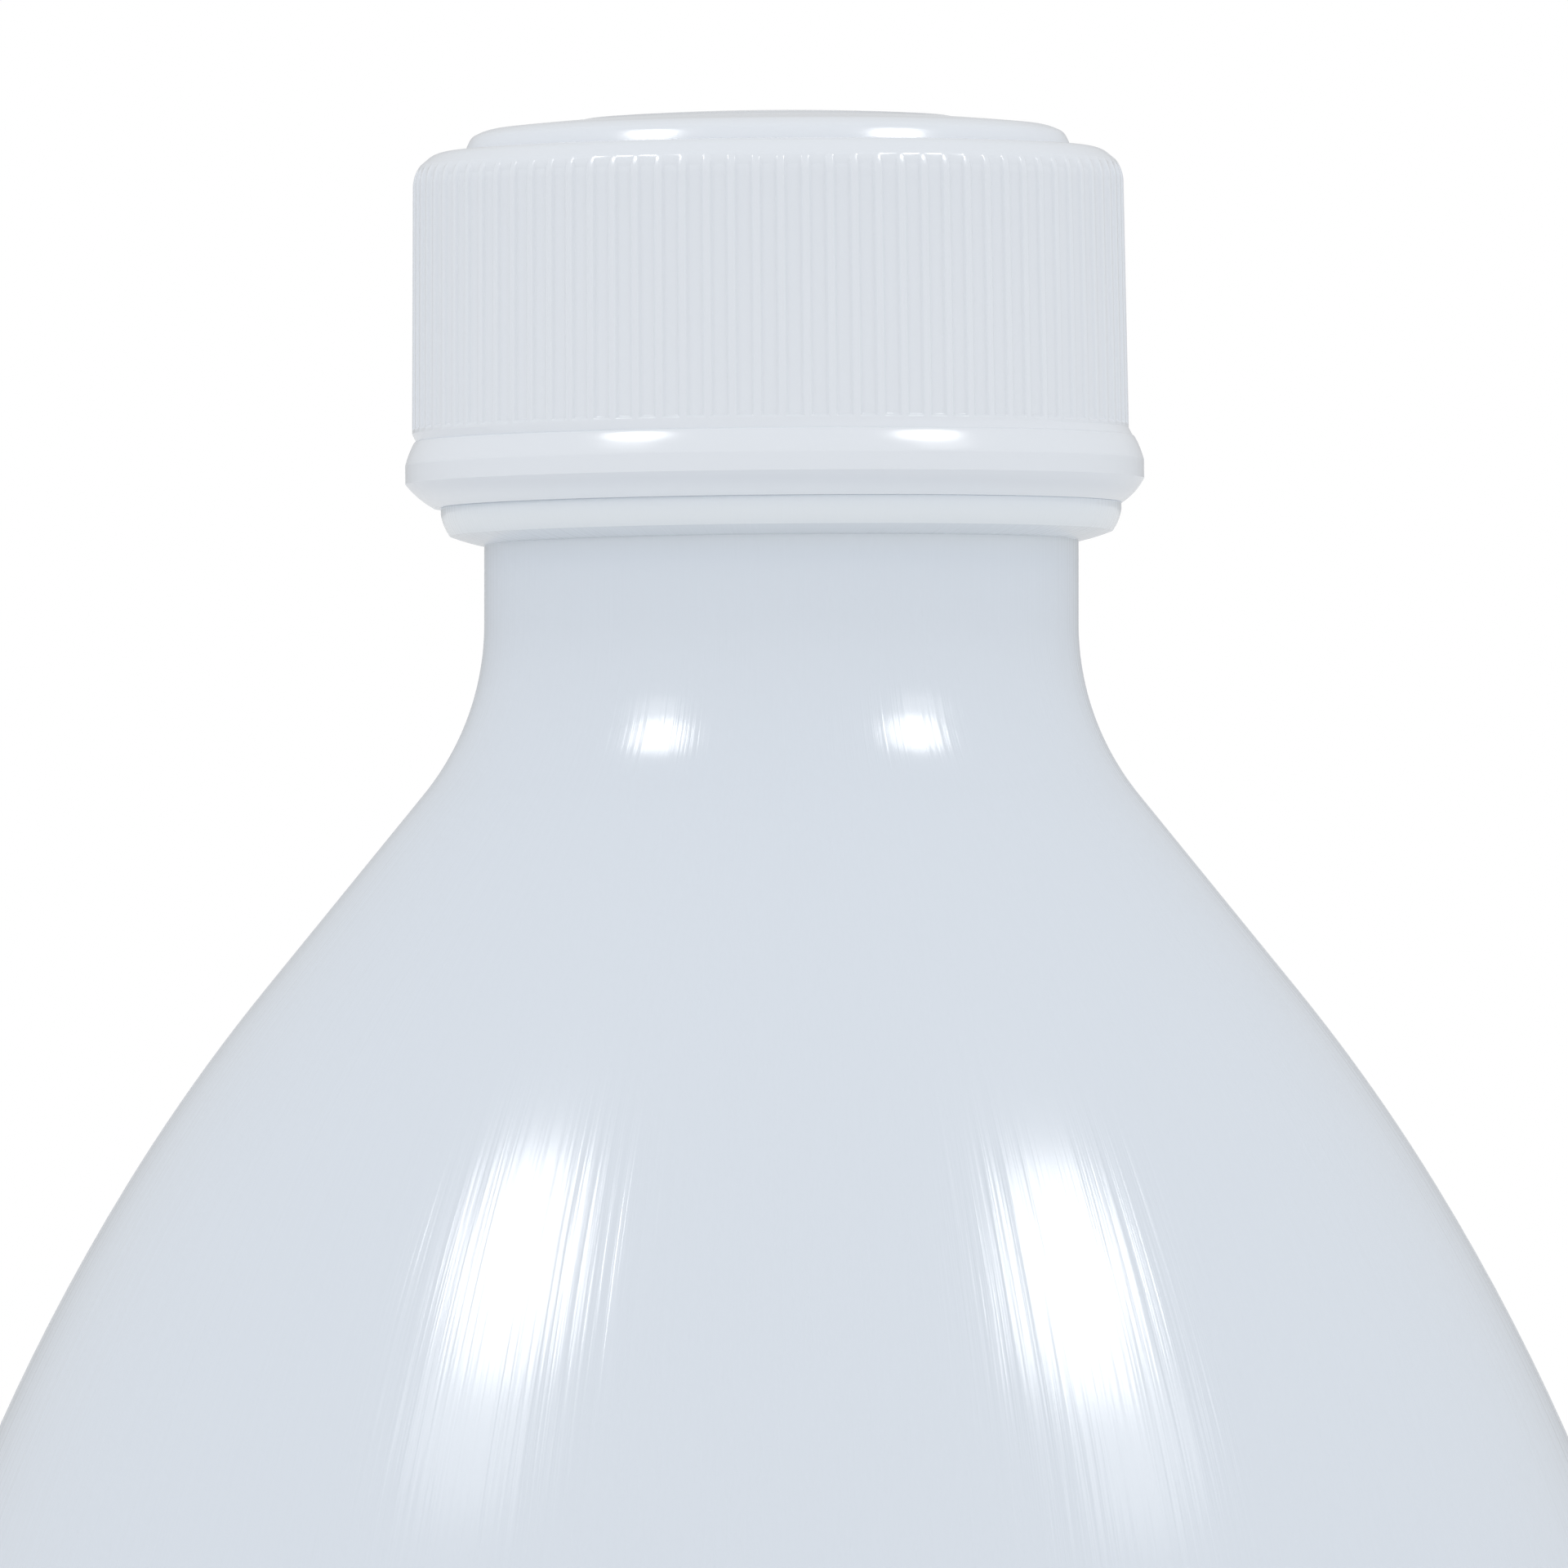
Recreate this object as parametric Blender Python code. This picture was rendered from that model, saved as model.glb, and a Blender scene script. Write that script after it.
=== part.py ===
"""Narrow-neck laboratory bottle with its ribbed screw cap.

Two mouldings: a thin blow-moulded polyethylene bottle that is open at the mouth, and
an injection-moulded cap that sits on the bottle's neck finish. Both are turned shapes.
The cap's grip is a ring of fine vertical ribs that run out on its rounded shoulder.

Blender 4.5, metres, +Z up. The origin is the middle of the foot, on the table.
The neck finish and the cap lean a little to the left, as moulded bottles often do.
"""

from math import asin, atan2, cos, degrees, radians, sin

import bmesh
import bpy
from mathutils import Matrix, Vector

MM = 0.001

# Body of the bottle
BODY_RADIUS = 38.0 * MM
BODY_HEIGHT = 92.3 * MM
HEEL_RADIUS = 6.0 * MM
FOOT_WIDTH = 2.0 * MM
PUSH_UP = 2.2 * MM
BODY_WALL = 1.1 * MM
BASE_WALL = 1.3 * MM

# Shoulder: a long lower arc, a tighter upper arc, then a straight cone
LOWER_ARC_ANGLE = radians(31.5)
UPPER_ARC_RADIUS = 70.8 * MM
CONE_ANGLE = radians(39.1)
CONE_LENGTH = 9.8 * MM

# Neck, the flare under it and the bead that carries the cap
FLARE_RADIUS = 10.6 * MM
NECK_RADIUS = 11.65 * MM
NECK_LENGTH = 3.2 * MM
NECK_WALL = 1.5 * MM
BEAD_PROJECTION = 1.69 * MM
BEAD_HEIGHT = 1.48 * MM
BEAD_EDGE = 0.2 * MM

# Bends are arcs joined end to end: (radius, first tilt, last tilt, steps), tilts in degrees up
BEAD_FACE = [(2.3 * MM, -14, -32, 1)]
BEAD_UNDERSIDE = [(5.5 * MM, -58, -73, 1)]

# Neck finish inside the cap
FINISH_HEIGHT = 12.2 * MM
RIM_ROUND = 0.4 * MM
FINISH_LEAN = radians(0.53)

# Cap on the finish
COLLAR_GAP = 0.3 * MM
SEAT_GAP = 0.3 * MM
THREAD_ROOM = 1.1 * MM
CAP_SHIFT = 0.39 * MM
CAP_WALL = 1.18 * MM
CAP_DRAFT = 0.12 * MM
CAP_TOP_WALL = 1.42 * MM
SHOULDER_WIDTH = 1.3 * MM
SHOULDER_DROP = 1.37 * MM
LAND_RISE = 0.18 * MM

# Raised disc on the cap: a shallow dome with a rounded edge and a faint inner step
LAND_WIDTH = 0.76 * MM
DISC_EDGE = [(2.6 * MM, 84, 64, 1), (0.7 * MM, 64, 34, 1), (1.0 * MM, 34, 18, 1)]
DISC_CROWN = 0.55 * MM
DISC_WALL = 1.8 * MM
STEP_INSET = 4.35 * MM
STEP_HEIGHT = 0.06 * MM

# Collar at the foot of the cap: a sloping upper face and a crisp edge over its underside
COLLAR_HEIGHT = 2.2 * MM
COLLAR_FACE = [(0.12 * MM, 80, 33, 1), (2.4 * MM, 33, 15, 1), (0.8 * MM, 15, 0, 1)]
COLLAR_UNDERSIDE = [(1.3 * MM, -25, -85, 2)]

# Grip: one shallow flute between each pair of ribs, from a ledge up onto the shoulder
RIB_COUNT = 90
RIB_HALF_WIDTH = 0.23 * MM
FLUTE_DEPTH = 0.1 * MM
LEDGE_HEIGHT = 0.4 * MM
RIB_RUN_UP = 0.45 * MM

# Inside of the cap: a flat seat over the mouth's rim, round a shallow recess
SEAT_MARGIN = 0.35 * MM

# Facets
BOTTLE_SEGMENTS = 44
SMOOTH_ANGLE = radians(32)
MERGE = 1e-7

# Radii down the shoulder: the lower arc is the one that closes the gap to the body
FLARE_BOTTOM_RADIUS = NECK_RADIUS + FLARE_RADIUS * (1 - cos(CONE_ANGLE))
UPPER_ARC_TOP_RADIUS = FLARE_BOTTOM_RADIUS + CONE_LENGTH * sin(CONE_ANGLE)
LOWER_ARC_TOP_RADIUS = UPPER_ARC_TOP_RADIUS + UPPER_ARC_RADIUS * (cos(LOWER_ARC_ANGLE) - cos(CONE_ANGLE))
LOWER_ARC_RADIUS = (BODY_RADIUS - LOWER_ARC_TOP_RADIUS) / (1 - cos(LOWER_ARC_ANGLE))

# Heights up the shoulder, the neck and its finish
LOWER_ARC_TOP = BODY_HEIGHT + LOWER_ARC_RADIUS * sin(LOWER_ARC_ANGLE)
UPPER_ARC_TOP = LOWER_ARC_TOP + UPPER_ARC_RADIUS * (sin(CONE_ANGLE) - sin(LOWER_ARC_ANGLE))
FLARE_BOTTOM = UPPER_ARC_TOP + CONE_LENGTH * cos(CONE_ANGLE)
NECK_BOTTOM = FLARE_BOTTOM + FLARE_RADIUS * sin(CONE_ANGLE)
BEAD_BOTTOM = NECK_BOTTOM + NECK_LENGTH
BEAD_TOP = BEAD_BOTTOM + BEAD_HEIGHT
MOUTH = BEAD_TOP + FINISH_HEIGHT

# Radii and depths that the cap takes from the neck finish
BORE_RADIUS = NECK_RADIUS - NECK_WALL
SKIRT_RADIUS = NECK_RADIUS + THREAD_ROOM
CAP_DEPTH = FINISH_HEIGHT - COLLAR_GAP + SEAT_GAP
RECESS_RADIUS = BORE_RADIUS - CAP_SHIFT - SEAT_MARGIN


def arc(centre, radius, start, end, steps):
    """Points of an arc in the (radius, height) plane, from start to end in degrees."""
    points = []
    for step in range(steps + 1):
        angle = radians(start + (end - start) * step / steps)
        points.append((centre[0] + radius[0] * cos(angle), centre[1] + radius[1] * sin(angle)))
    return points


def bend_down(start, bends):
    """Points of arcs joined end to end from start, each turning the outside face further down."""
    radius, height = start
    points = [start]
    for bend, first, last, steps in bends:
        for step in range(steps):
            before = radians(first + (last - first) * step / steps)
            after = radians(first + (last - first) * (step + 1) / steps)
            radius += bend * (cos(after) - cos(before))
            height += bend * (sin(after) - sin(before))
            points.append((radius, height))
    return points


def bend_size(bends):
    """How far the joined arcs reach outwards and downwards in all."""
    radius, height = bend_down((0, 0), bends)[-1]
    return radius, -height


def without_repeats(points):
    """The outline with points that lie on their neighbour left out."""
    kept = [points[0]]
    for point in points[1:]:
        if abs(point[0] - kept[-1][0]) + abs(point[1] - kept[-1][1]) > MERGE:
            kept.append(point)
    return kept


def turn(outline, segments):
    """Spin an outline from axis to axis round Z into one closed mesh."""
    mesh = bmesh.new()
    rail = [mesh.verts.new((radius, 0, height)) for radius, height in without_repeats(outline)]
    edges = [mesh.edges.new(pair) for pair in zip(rail, rail[1:])]
    bmesh.ops.spin(
        mesh,
        geom=rail + edges,
        cent=(0, 0, 0),
        axis=(0, 0, 1),
        angle=radians(360),
        steps=segments,
        use_merge=True,
        use_duplicate=False,
    )
    bmesh.ops.remove_doubles(mesh, verts=mesh.verts, dist=MERGE)
    bmesh.ops.recalc_face_normals(mesh, faces=mesh.faces)
    return mesh


def plastic(name, colour, roughness):
    """A glossy moulded plastic."""
    material = bpy.data.materials.new(name)
    material.use_nodes = True
    shader = material.node_tree.nodes["Principled BSDF"]
    shader.inputs["Base Color"].default_value = (*colour, 1)
    shader.inputs["Roughness"].default_value = roughness
    shader.inputs["Metallic"].default_value = 0
    shader.inputs["IOR"].default_value = 1.5
    return material


def finish_object(mesh, name, material):
    """Turn a bmesh into a smooth-shaded object with sharp creases."""
    data = bpy.data.meshes.new(name)
    mesh.to_mesh(data)
    mesh.free()
    data.shade_smooth()
    data.set_sharp_from_angle(angle=SMOOTH_ANGLE)
    data.materials.append(material)
    thing = bpy.data.objects.new(name, data)
    bpy.context.scene.collection.objects.link(thing)
    return thing


def sweep_of_shoulder(arc_steps, flare_steps):
    """Outer side from the top of the flare down to the body: (radius, height, normal angle)."""
    sweep = []
    for step in range(flare_steps + 1):
        angle = CONE_ANGLE * step / flare_steps
        radius = NECK_RADIUS + FLARE_RADIUS * (1 - cos(angle))
        sweep.append((radius, NECK_BOTTOM - FLARE_RADIUS * sin(angle), angle))
    sweep.append((UPPER_ARC_TOP_RADIUS, UPPER_ARC_TOP, CONE_ANGLE))
    middle = LOWER_ARC_ANGLE + (CONE_ANGLE - LOWER_ARC_ANGLE) / 2
    middle_radius = LOWER_ARC_TOP_RADIUS - UPPER_ARC_RADIUS * (cos(LOWER_ARC_ANGLE) - cos(middle))
    middle_height = LOWER_ARC_TOP + UPPER_ARC_RADIUS * (sin(middle) - sin(LOWER_ARC_ANGLE))
    sweep.append((middle_radius, middle_height, middle))
    for step in range(arc_steps + 1):
        angle = LOWER_ARC_ANGLE * (1 - step / arc_steps)
        radius = BODY_RADIUS - LOWER_ARC_RADIUS * (1 - cos(angle))
        sweep.append((radius, BODY_HEIGHT + LOWER_ARC_RADIUS * sin(angle), angle))
    return sweep


def inner_side(sweep):
    """The same sweep moved inwards by a wall that thins from the neck to the body."""
    points = []
    for radius, height, angle in sweep:
        share = (height - BODY_HEIGHT) / (NECK_BOTTOM - BODY_HEIGHT)
        wall = BODY_WALL + (NECK_WALL - BODY_WALL) * share
        points.append((radius - wall * cos(angle), height - wall * sin(angle)))
    return points


def shallow_dome(edge, rise, lift, steps):
    """A shallow dome from its edge, at the height lift, up to the axis."""
    bow = (edge * edge + rise * rise) / (2 * rise)
    half_angle = atan2(edge, bow - rise)
    points = []
    for step in range(steps + 1):
        angle = half_angle * (1 - step / steps)
        points.append((bow * sin(angle), lift + rise - bow * (1 - cos(angle))))
    return points


def bottle_outline():
    """Outer side from the axis at the base up to the mouth, then the inner side back."""
    heel = (BODY_RADIUS - HEEL_RADIUS, HEEL_RADIUS)
    foot_inner = heel[0] - FOOT_WIDTH
    bead = NECK_RADIUS + BEAD_PROJECTION
    outline = list(reversed(shallow_dome(foot_inner, PUSH_UP, 0, 3)))
    outline += arc(heel, (HEEL_RADIUS, HEEL_RADIUS), -90, 0, 4)
    outline += [(radius, height) for radius, height, _ in reversed(sweep_of_shoulder(5, 5))]
    outline.append((NECK_RADIUS, BEAD_BOTTOM))
    bead_bends = BEAD_FACE + BEAD_UNDERSIDE
    bead_face = (bead, BEAD_BOTTOM + bend_size(bead_bends)[1])
    outline += reversed(bend_down(bead_face, bead_bends))
    outline += arc((bead - BEAD_EDGE, BEAD_TOP - BEAD_EDGE), (BEAD_EDGE, BEAD_EDGE), 0, 90, 2)
    outline.append((NECK_RADIUS, BEAD_TOP))
    outline += arc((NECK_RADIUS - RIM_ROUND, MOUTH - RIM_ROUND), (RIM_ROUND, RIM_ROUND), 0, 90, 2)
    outline.append((BORE_RADIUS, MOUTH))
    inner_heel = HEEL_RADIUS - BODY_WALL
    outline += inner_side(sweep_of_shoulder(4, 3))
    outline += arc(heel, (inner_heel, HEEL_RADIUS - BASE_WALL), 0, -90, 3)
    outline += shallow_dome(foot_inner, PUSH_UP, BASE_WALL, 2)
    return outline


def lean_the_finish(mesh):
    """Tip all that stands above the neck, outside and inside, about the neck's foot."""
    finish = [vert for vert in mesh.verts if vert.co.z > BEAD_BOTTOM - MERGE]
    tip = Matrix.Rotation(-FINISH_LEAN, 3, "Y")
    bmesh.ops.rotate(mesh, cent=(0, 0, BEAD_BOTTOM), matrix=tip, verts=finish)


def make_bottle():
    """The blow-moulded bottle: one wall with an open mouth."""
    mesh = turn(bottle_outline(), BOTTLE_SEGMENTS)
    lean_the_finish(mesh)
    return finish_object(mesh, "bottle", plastic("milky polyethylene", (0.66, 0.72, 0.79), 0.22))


def cap_radius(height):
    """Outer radius of the cap's wall, which widens a little from its top to its foot."""
    top = CAP_DEPTH + CAP_TOP_WALL - SHOULDER_DROP
    return SKIRT_RADIUS + CAP_WALL + CAP_DRAFT * (top - height) / (top - COLLAR_HEIGHT)


def rib_ends():
    """Heights of the ribs' feet, on the ledge above the collar, and of their tops on the shoulder."""
    shoulder_foot = CAP_DEPTH + CAP_TOP_WALL - SHOULDER_DROP
    return COLLAR_HEIGHT + LEDGE_HEIGHT, shoulder_foot + RIB_RUN_UP


def disc_outline(disc_radius, foot):
    """The raised disc: dome with its inner step, then its bent edge down to its foot."""
    edge_width, edge_height = bend_size(DISC_EDGE)
    edge = disc_radius - edge_width
    edge_top = foot + edge_height
    step_radius = disc_radius - STEP_INSET
    dome = shallow_dome(edge, DISC_CROWN, edge_top, 3)
    inner = [(radius, height + STEP_HEIGHT) for radius, height in dome if radius < step_radius]
    slope = [(radius, height) for radius, height in dome if radius >= step_radius]
    share = (step_radius - inner[0][0]) / (slope[-1][0] - inner[0][0])
    step_height = inner[0][1] - STEP_HEIGHT + share * (slope[-1][1] - inner[0][1] + STEP_HEIGHT)
    outline = list(reversed(inner))
    outline += [(step_radius - STEP_HEIGHT, step_height + STEP_HEIGHT), (step_radius, step_height)]
    outline += list(reversed(slope))
    outline += bend_down((edge, edge_top), DISC_EDGE)
    return outline


def cap_outline():
    """From the axis on top of the cap down its outside, and back up its inside."""
    land = CAP_DEPTH + CAP_TOP_WALL
    wall_top = land - SHOULDER_DROP
    wall_radius = cap_radius(wall_top)
    ledge = rib_ends()[0]
    outline = disc_outline(wall_radius - SHOULDER_WIDTH - LAND_WIDTH, land + LAND_RISE)
    shoulder_centre = (wall_radius - SHOULDER_WIDTH, wall_top)
    run_up = degrees(asin(RIB_RUN_UP / SHOULDER_DROP))
    outline += arc(shoulder_centre, (SHOULDER_WIDTH, SHOULDER_DROP), 90, run_up, 3)
    outline.append((cap_radius(ledge), ledge))
    outline += bend_down((cap_radius(COLLAR_HEIGHT), COLLAR_HEIGHT), COLLAR_FACE)
    collar = outline[-1][0]
    outline += bend_down((collar, bend_size(COLLAR_UNDERSIDE)[1]), COLLAR_UNDERSIDE)
    ceiling = outline[0][1] - DISC_WALL
    outline += [(SKIRT_RADIUS, 0), (SKIRT_RADIUS, CAP_DEPTH), (RECESS_RADIUS, CAP_DEPTH)]
    outline += [(RECESS_RADIUS, ceiling), (0, ceiling)]
    return outline


def cut_flutes(mesh):
    """Sink each panel of the grip band, so that the strips between them stand as ribs."""
    low, high = rib_ends()
    middle = (low + high) / 2
    panels = []
    for face in mesh.faces:
        centre = face.calc_center_median()
        outside = Vector((centre.x, centre.y)).length > SKIRT_RADIUS + CAP_WALL / 2
        if outside and abs(centre.z - middle) < (high - low) / 4:
            panels.append(face)
    bmesh.ops.inset_individual(
        mesh,
        faces=panels,
        thickness=RIB_HALF_WIDTH,
        depth=-FLUTE_DEPTH,
        use_even_offset=True,
    )


def make_cap():
    """The screw cap: raised disc, shoulder, ribbed grip, collar, skirt and seat."""
    mesh = turn(cap_outline(), RIB_COUNT)
    cut_flutes(mesh)
    return finish_object(mesh, "cap", plastic("milky polypropylene", (0.72, 0.76, 0.82), 0.28))


def place_cap(cap):
    """Screw the cap down on the leaning finish, a little off its axis."""
    finish = bpy.data.objects.new("neck_finish", None)
    bpy.context.scene.collection.objects.link(finish)
    finish.location = (0, 0, BEAD_BOTTOM)
    finish.rotation_euler = (0, -FINISH_LEAN, 0)
    cap.parent = finish
    cap.location = (-CAP_SHIFT, 0, BEAD_HEIGHT + COLLAR_GAP)


def clear_scene():
    """Start from an empty scene."""
    for thing in list(bpy.data.objects):
        bpy.data.objects.remove(thing, do_unlink=True)


def main():
    clear_scene()
    make_bottle()
    place_cap(make_cap())


main()
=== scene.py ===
# %% [markdown]
# # A milky laboratory bottle with a ribbed screw cap
#
# The real thing is two mouldings. The bottle is blown from polyethylene, so its wall is thin,
# milky and a little uneven. The cap is injected into a cut mould, so its ribs are crisp.
# The frame that is loaded here says where the two pieces are and how large they may be.

# %% Load the frame
from math import asin, atan2, copysign, cos, pi, radians, sin

import bmesh
import bpy
from mathutils import Matrix, Vector


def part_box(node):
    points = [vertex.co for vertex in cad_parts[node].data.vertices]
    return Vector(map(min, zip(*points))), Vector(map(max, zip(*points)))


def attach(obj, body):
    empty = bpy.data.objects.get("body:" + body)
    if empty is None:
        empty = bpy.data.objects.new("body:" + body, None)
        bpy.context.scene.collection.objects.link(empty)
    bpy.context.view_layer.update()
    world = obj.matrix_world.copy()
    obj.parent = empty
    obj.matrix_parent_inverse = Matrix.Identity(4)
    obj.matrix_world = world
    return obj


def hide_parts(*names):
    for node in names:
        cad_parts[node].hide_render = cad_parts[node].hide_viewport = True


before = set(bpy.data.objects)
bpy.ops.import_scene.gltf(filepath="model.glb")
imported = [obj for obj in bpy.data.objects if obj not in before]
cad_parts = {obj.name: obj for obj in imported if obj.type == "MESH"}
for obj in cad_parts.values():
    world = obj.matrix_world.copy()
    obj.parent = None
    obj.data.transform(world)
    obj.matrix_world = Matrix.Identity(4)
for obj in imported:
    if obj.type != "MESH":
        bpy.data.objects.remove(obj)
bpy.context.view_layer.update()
bottle_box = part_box("bottle")
cap_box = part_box("cap")
MM = 0.001


def in_mm(*values):
    """Lengths in metres as millimetres, for printing."""
    return [round(value / MM, 2) for value in values]


print("bottle", [in_mm(*corner) for corner in bottle_box], "mm")
print("cap", [in_mm(*corner) for corner in cap_box], "mm")

# %% [markdown]
# ## Sizes
#
# The body's radius comes from the frame. The other sizes are those of the moulds, in millimetres.
# From the cap down to the lower shoulder they were fitted to the photograph. The straight body, the
# base and everything inside are out of its sight and follow bottles of this kind.
#
# A bent face is a list of arcs that join: each one gives its radius, the angle of its outward
# direction above the level at its start and at its end, and its number of steps.

# %% Sizes of the bottle
BODY_RADIUS = bottle_box[1][0]
BODY_HEIGHT = 92.3 * MM
HEEL_RADIUS = 6.0 * MM
FOOT_WIDTH = 2.0 * MM
PUSH_UP = 2.2 * MM
BODY_WALL = 1.1 * MM
BASE_WALL = 1.3 * MM
LOWER_ARC_ANGLE = radians(31.5)
UPPER_ARC_RADIUS = 70.8 * MM
CONE_ANGLE = radians(39.1)
CONE_LENGTH = 9.8 * MM
FLARE_RADIUS = 10.6 * MM
NECK_RADIUS = 11.65 * MM
NECK_LENGTH = 3.2 * MM
NECK_WALL = 1.5 * MM
BEAD_PROJECTION = 1.69 * MM
BEAD_HEIGHT = 1.48 * MM
BEAD_EDGE = 0.05 * MM
BEAD_FACE = [(1.9 * MM, -8, -36, 8)]
BEAD_UNDERSIDE = [(7.06 * MM, -68, -78, 8)]
FINISH_HEIGHT = 12.2 * MM
RIM_ROUND = 0.4 * MM
FINISH_LEAN = radians(0.53)

FLARE_BOTTOM_RADIUS = NECK_RADIUS + FLARE_RADIUS * (1 - cos(CONE_ANGLE))
UPPER_ARC_TOP_RADIUS = FLARE_BOTTOM_RADIUS + CONE_LENGTH * sin(CONE_ANGLE)
LOWER_ARC_TOP_RADIUS = UPPER_ARC_TOP_RADIUS + UPPER_ARC_RADIUS * (cos(LOWER_ARC_ANGLE) - cos(CONE_ANGLE))
LOWER_ARC_RADIUS = (BODY_RADIUS - LOWER_ARC_TOP_RADIUS) / (1 - cos(LOWER_ARC_ANGLE))
LOWER_ARC_TOP = BODY_HEIGHT + LOWER_ARC_RADIUS * sin(LOWER_ARC_ANGLE)
UPPER_ARC_TOP = LOWER_ARC_TOP + UPPER_ARC_RADIUS * (sin(CONE_ANGLE) - sin(LOWER_ARC_ANGLE))
FLARE_BOTTOM = UPPER_ARC_TOP + CONE_LENGTH * cos(CONE_ANGLE)
NECK_BOTTOM = FLARE_BOTTOM + FLARE_RADIUS * sin(CONE_ANGLE)
BEAD_BOTTOM = NECK_BOTTOM + NECK_LENGTH
BEAD_TOP = BEAD_BOTTOM + BEAD_HEIGHT
MOUTH = BEAD_TOP + FINISH_HEIGHT
BORE_RADIUS = NECK_RADIUS - NECK_WALL
print("neck and mouth start at", in_mm(NECK_BOTTOM, MOUTH), "mm")

# %% Sizes of the cap
COLLAR_GAP = 0.3 * MM
COLLAR_TOUCH = 0.31 * MM
COLLAR_SHIFT = 0.15 * MM
FOOT_SHIFT = 0.27 * MM
SEAT_GAP = 0.3 * MM
THREAD_ROOM = 1.1 * MM
CAP_SHIFT = 0.39 * MM
CAP_WALL = 1.18 * MM
CAP_DRAFT = 0.12 * MM
CAP_TOP_WALL = 1.42 * MM
SHOULDER_WIDTH = 1.3 * MM
SHOULDER_DROP = 1.37 * MM
LAND_RISE = 0.05 * MM
SHOULDER_ROUND = [(1.1 * MM, 90, 50, 10)]
LAND_WIDTH = 0.76 * MM
DISC_EDGE = [(2.2 * MM, 84, 62, 6), (0.5 * MM, 62, 27.5, 6), (3.5 * MM, 27.5, 20.5, 6)]
DISC_CROWN = 0.54 * MM
DISC_WALL = 1.8 * MM
STEP_INSET = 4.35 * MM
STEP_HEIGHT = 0.06 * MM
COLLAR_HEIGHT = 2.3 * MM
COLLAR_FACE = [(0.12 * MM, 80, 29, 4), (3.5 * MM, 29, 21, 5), (4.1 * MM, 21, 15, 5),
               (0.3 * MM, 15, 0, 5)]
COLLAR_UNDERSIDE = [(3.05 * MM, -33, -58.5, 6)]
RIB_COUNT = 90
RIB_HALF_CREST = 0.13 * MM
RIB_FLANK = 0.1 * MM
FLUTE_DEPTH = 0.1 * MM
FLUTE_RUN_OUT = 0.3 * MM
RIB_ROUND = 0.03 * MM
RIB_TOP_CUTS = 12
LEDGE_HEIGHT = 0.3 * MM
RIB_RUN_UP = 0.85 * MM
SEAT_MARGIN = 0.35 * MM
SKIRT_RADIUS = NECK_RADIUS + THREAD_ROOM
CAP_DEPTH = FINISH_HEIGHT - COLLAR_GAP + SEAT_GAP
WALL_TOP = CAP_DEPTH + CAP_TOP_WALL - SHOULDER_DROP
MID_WALL_RADIUS = SKIRT_RADIUS + CAP_WALL / 2
GRIP_BOTTOM = COLLAR_HEIGHT + LEDGE_HEIGHT
GRIP_TOP = WALL_TOP + RIB_RUN_UP
RECESS_RADIUS = BORE_RADIUS - CAP_SHIFT - SEAT_MARGIN
print("cap depth", in_mm(CAP_DEPTH), "grip from and to", in_mm(GRIP_BOTTOM, GRIP_TOP), "mm")

# %% [markdown]
# ## Camera
#
# The photograph looks a little up at the neck and, at this bottle's size, shows a patch that is
# 61 mm wide. A long lens from two metres away gives that near-parallel view, so the lens follows
# from the distance and the patch. The rise is a compromise, because the collar's lower edge and the
# disc's border each ask for another one. No depth of field is set: the whole neck is sharp.

# %% Camera
CAMERA_DISTANCE = 2.0
CAMERA_RISE = radians(1.45)
AIM = Vector((0.0001, 0, 0.15186))
PIXELS_ACROSS = 1920
MM_PER_PIXEL = 0.032
PATCH_WIDTH = PIXELS_ACROSS * MM_PER_PIXEL * MM
SENSOR = 36.0

camera_data = bpy.data.cameras.new("camera")
camera_data.sensor_width = SENSOR
camera_data.lens = SENSOR * CAMERA_DISTANCE / PATCH_WIDTH
camera = bpy.data.objects.new("camera", camera_data)
bpy.context.scene.collection.objects.link(camera)
camera.location = AIM - CAMERA_DISTANCE * Vector((0, cos(CAMERA_RISE), sin(CAMERA_RISE)))
camera.rotation_euler = (radians(90) + CAMERA_RISE, 0, 0)
bpy.context.scene.camera = camera
print("lens", round(camera_data.lens, 1), "mm")

# %% [markdown]
# ## Turning helpers
#
# Both pieces are turned shapes, so each is one outline spun round the bottle's axis. An outline
# could be drawn as a curve with a Screw modifier; a spin in mesh code keeps the points exact.

# %% Turning helpers
WELD = 1e-7


def arc(centre, radius, start, end, steps):
    """Points of an arc in the (radius, height) plane, from start to end in degrees."""
    points = []
    for step in range(steps + 1):
        angle = radians(start + (end - start) * step / steps)
        points.append((centre[0] + radius[0] * cos(angle), centre[1] + radius[1] * sin(angle)))
    return points


def bend_down(start, bends):
    """Points of arcs joined end to end from start, each turning the outside face further down."""
    radius, height = start
    points = [start]
    for bend, first, last, steps in bends:
        for step in range(steps):
            before = radians(first + (last - first) * step / steps)
            after = radians(first + (last - first) * (step + 1) / steps)
            radius += bend * (cos(after) - cos(before))
            height += bend * (sin(after) - sin(before))
            points.append((radius, height))
    return points


def bend_size(bends):
    """How far the joined arcs reach outwards and downwards in all."""
    radius, height = bend_down((0, 0), bends)[-1]
    return radius, -height


def turn(outline, segments):
    """Spin an outline from axis to axis round Z into one closed mesh."""
    mesh = bmesh.new()
    rail = [mesh.verts.new((radius, 0, height)) for radius, height in outline]
    edges = [mesh.edges.new(pair) for pair in zip(rail, rail[1:])]
    bmesh.ops.spin(mesh, geom=rail + edges, cent=(0, 0, 0), axis=(0, 0, 1), angle=radians(360),
                   steps=segments, use_merge=True, use_duplicate=False)
    bmesh.ops.remove_doubles(mesh, verts=mesh.verts, dist=WELD)
    bmesh.ops.recalc_face_normals(mesh, faces=mesh.faces)
    return mesh


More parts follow.
